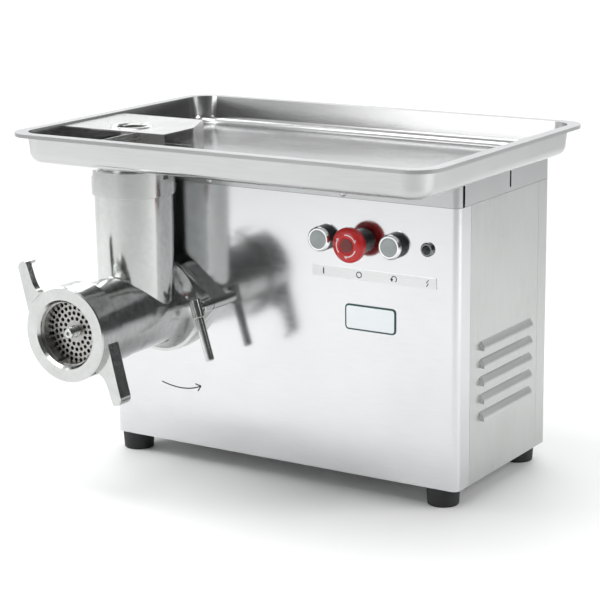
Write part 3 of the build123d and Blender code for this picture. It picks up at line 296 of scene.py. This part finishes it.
# printed arrow that shows which way the auger turns
start, low, tip = on_panel(70.7, 94.9), on_panel(104.7, 87.6), on_panel(128.4, 96.8)
CURVE_STEPS = 16
curve = []
for i in range(CURVE_STEPS + 1):
    t = i / CURVE_STEPS
    curve.append(((1 - t) ** 2 * start[0] + 2 * t * (1 - t) * low[0] + t * t * tip[0],
                  (1 - t) ** 2 * start[1] + 2 * t * (1 - t) * (low[1] - 2 * MM) + t * t * tip[1]))
heading = atan2(curve[-1][1] - curve[-3][1], curve[-1][0] - curve[-3][0])
ARROW_LINE = 1.5 * MM
parts = [stroke(curve, ARROW_LINE, panel_face - PROUD, panel_face)]
for turn in (2.55, -2.55):
    barb = (tip[0] + 8.5 * MM * cos(heading + turn), tip[1] + 8.5 * MM * sin(heading + turn))
    parts.append(stroke([barb, tip], ARROW_LINE, panel_face - PROUD, panel_face))
piece("turn_arrow", *joined(parts), "ink", "chassis", "switch_plastic")

# generic signs on the legend strip, one under each control
strip_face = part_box("legend_plate")[0][1]
strip_z = middle("legend_plate")[2]
front, back = strip_face - PROUD, strip_face
start_x, stop_x = middle("start_button")[0], middle("stop_button")[0]
reverse_x, lamp_x = middle("reverse_button")[0], middle("lamp_lens")[0]
line = 1.1 * MM
ring = arc(stop_x, strip_z, 3.2 * MM, 0, 2 * pi, 36)
swing = arc(reverse_x, strip_z, 3.2 * MM, radians(-60), radians(200), 28)
signs = [
    stroke([(start_x, strip_z - 3.6 * MM), (start_x, strip_z + 3.6 * MM)], line * 1.3, front, back),
    stroke(ring, line, front, back),
    stroke(swing, line, front, back),
    arrow_head((swing[-1][0] + 0.4 * MM, swing[-1][1] - 2.4 * MM), radians(-80), 4.2 * MM, front, back),
    stroke([(lamp_x + 1.4 * MM, strip_z + 3.8 * MM), (lamp_x - 1.4 * MM, strip_z + 0.2 * MM),
            (lamp_x + 1.2 * MM, strip_z - 0.1 * MM), (lamp_x - 1.2 * MM, strip_z - 3.8 * MM)],
           line, front, back),
]
piece("legend_signs", *joined(signs), "ink", "chassis", "switch_plastic")

# pale field inside the badge's dark edge
badge_low, badge_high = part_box("badge_plate")


def rounded(low, high, inset, radius):
    """Outline of a rounded rectangle between two corners, drawn in by inset."""
    x0, x1 = low[0] + inset, high[0] - inset
    z0, z1 = low[2] + inset, high[2] - inset
    outline = []
    for x, z, a in ((x1 - radius, z0 + radius, -pi / 2), (x1 - radius, z1 - radius, 0),
                    (x0 + radius, z1 - radius, pi / 2), (x0 + radius, z0 + radius, pi)):
        outline += arc(x, z, radius, a, a + pi / 2, 8)
    return outline


piece("badge_field", *prism(rounded(badge_low, badge_high, 2.0 * MM, 3.2 * MM), badge_low[1] - PROUD,
                            badge_low[1] + 0.3 * MM), "badge_face", "chassis", "label_film")

# marks on the stop button: a dark middle and three arrows for the way it turns
stop_y, stop_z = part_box("stop_button")[0][1], middle("stop_button")[2]
CENTRE_R, MARK_R = 7.6 * MM, 12.4 * MM
mark_front, mark_back = stop_y - 0.02 * MM, stop_y + 0.6 * MM
piece("stop_centre", *prism(arc(stop_x, stop_z, CENTRE_R, 0, 2 * pi * 47 / 48, 47), stop_y + 0.35 * MM,
                            stop_y + 1.0 * MM), "stop_centre", "stop_head", "stop_plastic")
marks = []
for third in range(3):
    begin = radians(100 + 120 * third)
    bow = arc(stop_x, stop_z, MARK_R, begin, begin - radians(70), 18)
    marks.append(stroke(bow, 1.3 * MM, mark_front, mark_back))
    end = begin - radians(82)
    marks.append(arrow_head((stop_x + MARK_R * cos(end), stop_z + MARK_R * sin(end)), end - pi / 2,
                            4.0 * MM, mark_front, mark_back))
piece("stop_arrows", *joined(marks), "white_mark", "stop_head", "stop_plastic")

# ribbed black sleeves round the rear of the button bezels
RIB_R, ROOT_R, BORE_R, RIBS, RIB_PITCH = 14.35, 14.1, 13.9, 5, 1.6
SLEEVE_REAR, SLEEVE_END, STEPS = -8.2, -0.05, 64
profile = [(SLEEVE_REAR, 14.05)]
for rib in range(RIBS):
    y = -8.0 + rib * RIB_PITCH
    profile += [(y, RIB_R), (y + 1.0, RIB_R), (y + 1.2, ROOT_R)]
profile += [(SLEEVE_END, ROOT_R), (SLEEVE_END, BORE_R), (SLEEVE_REAR, BORE_R)]
count = len(profile)
rings = []
for x in (start_x, reverse_x):
    z = middle("start_button")[2]
    vertices = []
    for i in range(STEPS):
        a = 2 * pi * i / STEPS
        vertices += [(x + r * MM * cos(a), panel_face + y * MM, z + r * MM * sin(a)) for y, r in profile]
    faces = []
    for i in range(STEPS):
        here, there = i * count, ((i + 1) % STEPS) * count
        for j in range(count):
            after = (j + 1) % count
            faces.append((here + j, here + after, there + after, there + j))
    rings.append((vertices, faces))
piece("bezel_sleeves", *joined(rings), "switch_plastic", "chassis", "switch_plastic")


# ------------------------------------------------------------------ floor and light
def stage_floor():
    size = 7.0
    mesh = bpy.data.meshes.new("floor")
    corners = [(-size, -size, 0), (size, -size, 0), (size, size, 0), (-size, size, 0)]
    mesh.from_pydata(corners, [], [(0, 1, 2, 3)])
    n = Nodes("floor")
    tone = n.noise((0.8, 0.8, 0.8), detail=2.0)
    colour = n.blend(n.remap(tone, 0, 1), (0.86, 0.86, 0.86), (0.90, 0.90, 0.90))
    n.link(colour, n.shader.inputs["Base Color"])
    n.shader.inputs["Roughness"].default_value = 0.6
    mesh.materials.append(n.material)
    floor = bpy.data.objects.new("floor", mesh)
    bpy.context.collection.objects.link(floor)


def softbox(name, where, target, width, height, power):
    """A rectangular studio light at where, facing target, with its sides in metres and power in watts."""
    data = bpy.data.lights.new(name, "AREA")
    data.shape, data.size, data.size_y, data.energy = "RECTANGLE", width, height, power
    lamp = bpy.data.objects.new(name, data)
    lamp.location = where
    lamp.rotation_euler = (Vector(target) - Vector(where)).to_track_quat("-Z", "Y").to_euler()
    bpy.context.collection.objects.link(lamp)


def studio_walls():
    """A pale studio wall on the left and behind, fading to a darker room on the right and in front."""
    world = bpy.data.worlds.new("studio")
    bpy.context.scene.world = world
    world.use_nodes = True
    tree = world.node_tree
    direction = tree.nodes.new("ShaderNodeTexCoord").outputs["Generated"]
    toward_sweep = tree.nodes.new("ShaderNodeVectorMath")
    toward_sweep.operation = "DOT_PRODUCT"
    toward_sweep.inputs[1].default_value = (-0.88, 0.42, -0.22)
    tree.links.new(direction, toward_sweep.inputs[0])
    ramp = tree.nodes.new("ShaderNodeMapRange")
    ramp.interpolation_type = "SMOOTHSTEP"
    for name, value in (("From Min", -0.95), ("From Max", 0.75), ("To Min", 0.10), ("To Max", 1.0)):
        ramp.inputs[name].default_value = value
    tree.links.new(toward_sweep.outputs["Value"], ramp.inputs["Value"])
    background = tree.nodes["Background"]
    background.inputs["Color"].default_value = (0.98, 0.99, 1.0, 1)
    tree.links.new(ramp.outputs["Result"], background.inputs["Strength"])


stage_floor()
studio_walls()
softbox("key", (-1.7, -0.6, 1.25), (-0.2, -0.35, 0), 1.2, 1.1, 18)
softbox("fill", (1.8, 0.5, 1.1), (0.5, 0.1, 0), 1.1, 1.0, 20)
softbox("top", (0.0, -0.5, 1.8), (0.0, -0.42, 0), 2.0, 0.8, 18)
softbox("front", (-0.9, -2.3, 0.9), (0.1, -0.1, 0.15), 1.0, 0.8, 6)
softbox("sweep", (-3.2, 5.2, 3.0), (-3.4, 5.6, 0), 7.0, 5.0, 330)
bpy.context.scene.view_settings.view_transform = "Standard"
